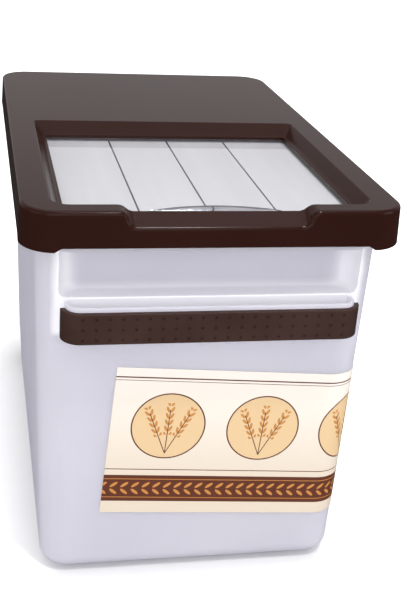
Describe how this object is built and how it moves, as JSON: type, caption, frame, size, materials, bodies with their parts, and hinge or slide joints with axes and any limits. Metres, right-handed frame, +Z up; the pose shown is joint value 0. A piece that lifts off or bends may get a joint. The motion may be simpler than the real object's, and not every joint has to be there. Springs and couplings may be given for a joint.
{
  "type": "grain storage bin",
  "caption": "Frosted tub for rice with a lift-off lid, a sliding window panel, a front grip and two rear wheels.",
  "frame": {"origin": "on the floor under the middle of the bin's outline", "axes": "+X to the right, +Y from the grip to the back, +Z up"},
  "size_m": [0.2298, 0.3749, 0.258],
  "materials": {
    "frosted_plastic": "frosted translucent polypropylene",
    "brown_grip": "finely grained",
    "label_film": "printed film",
    "steel": "zinc plated",
    "brown_plastic": "satin",
    "clear_plastic": "clear polystyrene",
    "wheel_plastic": "moulded"
  },
  "bodies": {
    "tub": {"tub": "frosted_plastic", "handle_grip": "brown_grip", "label": "label_film", "axle_pin_left": "steel", "axle_pin_right": "steel"},
    "lid": {"lid": "brown_plastic"},
    "window_panel": {"window_panel": "clear_plastic"},
    "wheel_left": {"wheel_left": "wheel_plastic"},
    "wheel_right": {"wheel_right": "wheel_plastic"}
  },
  "joints": [
    {"name": "lid_lift", "type": "slide", "parent": "tub", "child": "lid", "axis": [0, 0, 1], "range_m": [0, 0.12]},
    {"name": "panel_slide", "type": "slide", "parent": "lid", "child": "window_panel", "axis": [0, 1, 0], "range_m": [0, 0.152]},
    {"name": "wheel_left_spin", "type": "hinge", "parent": "tub", "child": "wheel_left", "pos_m": [-0.091, 0.145, 0.015], "axis": [1, 0, 0], "continuous": true},
    {"name": "wheel_right_spin", "type": "hinge", "parent": "tub", "child": "wheel_right", "pos_m": [0.091, 0.145, 0.015], "axis": [1, 0, 0], "continuous": true}
  ]
}
